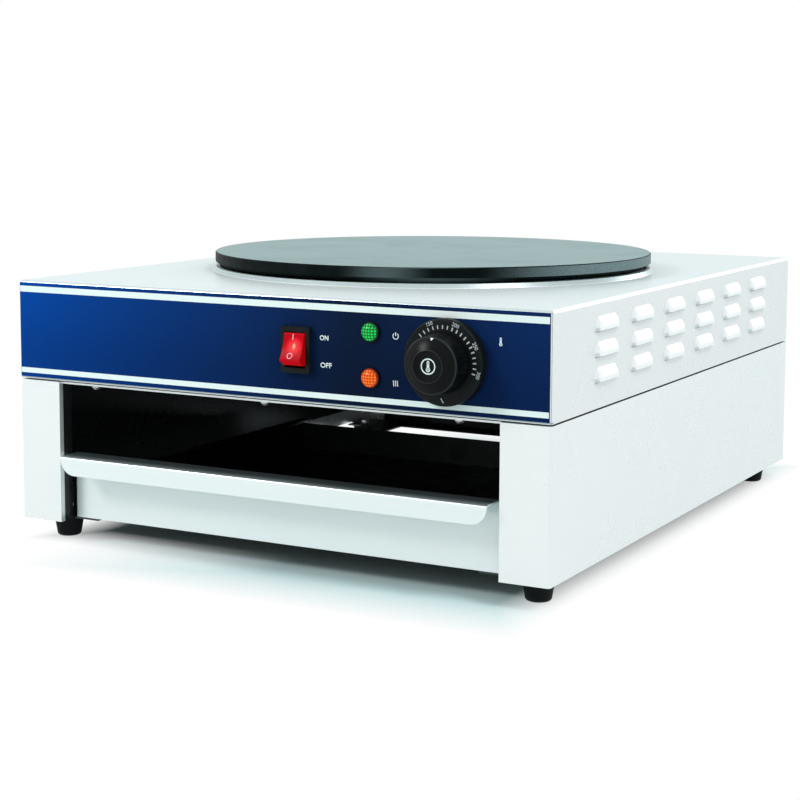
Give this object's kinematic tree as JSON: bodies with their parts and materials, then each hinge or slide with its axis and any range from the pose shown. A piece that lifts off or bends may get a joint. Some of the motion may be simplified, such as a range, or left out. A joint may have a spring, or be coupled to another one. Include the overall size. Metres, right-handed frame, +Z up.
{
  "type": "electric crepe maker",
  "caption": "Countertop electric crepe maker: round flat cooking plate on a folded steel housing with louvred sides, dial and switch panel, open compartment and pull-out tray.",
  "frame": {"origin": "on the worktop, under the middle of the housing", "axes": "+Z up, -Y towards the user and the control panel, +X to the user's right"},
  "size_m": [0.503, 0.6576, 0.2415],
  "materials": {
    "housing_steel": "satin stainless sheet",
    "inner_steel": "plain zinc-coated sheet",
    "panel_print": "satin navy print with white stripes",
    "black_plastic": "fine satin moulding",
    "switch_red": "translucent red",
    "lens_green": "translucent green, ribbed inside",
    "lens_amber": "translucent amber, ribbed inside",
    "plate_iron": "machined satin top, dark rim",
    "element_steel": "dark heated sheath",
    "fibre": "ceramic fibre board",
    "ceramic": "cream ceramic and resin",
    "copper": "drawn copper tube",
    "brass_screws": "turned brass",
    "screw_steel": "zinc-plated steel",
    "tray_steel": "satin stainless sheet",
    "foot_rubber": "matt moulded rubber"
  },
  "bodies": {
    "housing": {"lower_housing": "housing_steel", "rear_panel": "housing_steel", "runner_left": "inner_steel", "runner_right": "inner_steel", "base_pan": "inner_steel", "top_housing": "housing_steel", "control_panel": "panel_print", "switch_body": "black_plastic", "power_lamp_body": "black_plastic", "power_lamp_lens": "lens_green", "heat_lamp_body": "black_plastic", "heat_lamp_lens": "lens_amber", "dial_plate": "black_plastic", "thermostat_body": "ceramic", "thermostat_screws": "screw_steel", "thermostat_bulb": "copper", "cooking_plate": "plate_iron", "heating_element": "element_steel", "element_clamp": "inner_steel", "insulation_pad": "fibre", "heat_shield": "inner_steel", "plate_studs": "screw_steel", "spacer_tubes": "screw_steel", "stud_nuts": "screw_steel", "terminal_block": "ceramic", "terminal_screws": "brass_screws", "cable_gland": "black_plastic", "gland_nut": "black_plastic", "foot_front_left": "foot_rubber", "foot_front_right": "foot_rubber", "foot_rear_left": "foot_rubber", "foot_rear_right": "foot_rubber", "foot_nuts": "screw_steel", "housing_screws": "screw_steel", "back_screws": "screw_steel"},
    "drawer": {"drawer_tray": "tray_steel", "drawer_front": "housing_steel", "drawer_rivets": "screw_steel"},
    "rocker": {"switch_rocker": "switch_red"},
    "knob": {"control_knob": "black_plastic", "thermostat_shaft": "screw_steel"}
  },
  "joints": [
    {"name": "drawer_slide", "type": "slide", "parent": "housing", "child": "drawer", "axis": [0, -1, 0], "range_m": [0, 0.3]},
    {"name": "rocker_pivot", "type": "hinge", "parent": "housing", "child": "rocker", "pos_m": [0.0315, -0.29712, 0.18275], "axis": [1, 0, 0], "range_deg": [0, 40]},
    {"name": "knob_turn", "type": "hinge", "parent": "housing", "child": "knob", "pos_m": [0.1625, -0.3, 0.18195], "axis": [0, 1, 0], "range_deg": [-182, 99]}
  ]
}
